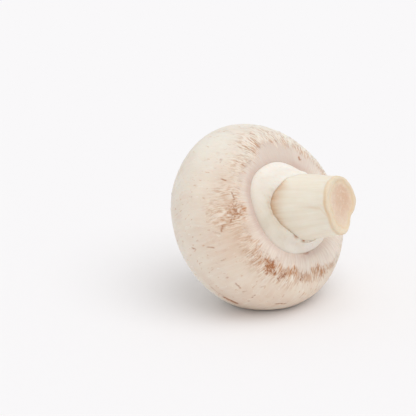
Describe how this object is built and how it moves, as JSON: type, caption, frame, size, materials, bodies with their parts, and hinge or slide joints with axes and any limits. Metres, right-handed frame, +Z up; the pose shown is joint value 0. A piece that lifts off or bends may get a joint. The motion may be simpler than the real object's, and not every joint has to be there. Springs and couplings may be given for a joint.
{
  "type": "button mushroom",
  "caption": "Closed white button mushroom with a rounded cap, a veil collar and a trimmed, leaning stem, lying on the side of its cap.",
  "frame": {"origin": "middle of the flattened spot on the side of the cap on which the mushroom lies", "axes": "+Z up, away from the surface it lies on; +X the level direction in which the cap's axis and the stem point, with the stem's end at high X; +Y to the left seen from behind the cap"},
  "size_m": [0.0484, 0.0501, 0.0435],
  "materials": {
    "cap_skin": "matte, silky skin with fine brown scales",
    "veil_skin": "matte, smooth skin",
    "stem_flesh": "matte, fibrous flesh with a cut end"
  },
  "bodies": {
    "root": {"cap": "cap_skin", "veil": "veil_skin", "stem": "stem_flesh"}
  },
  "joints": []
}
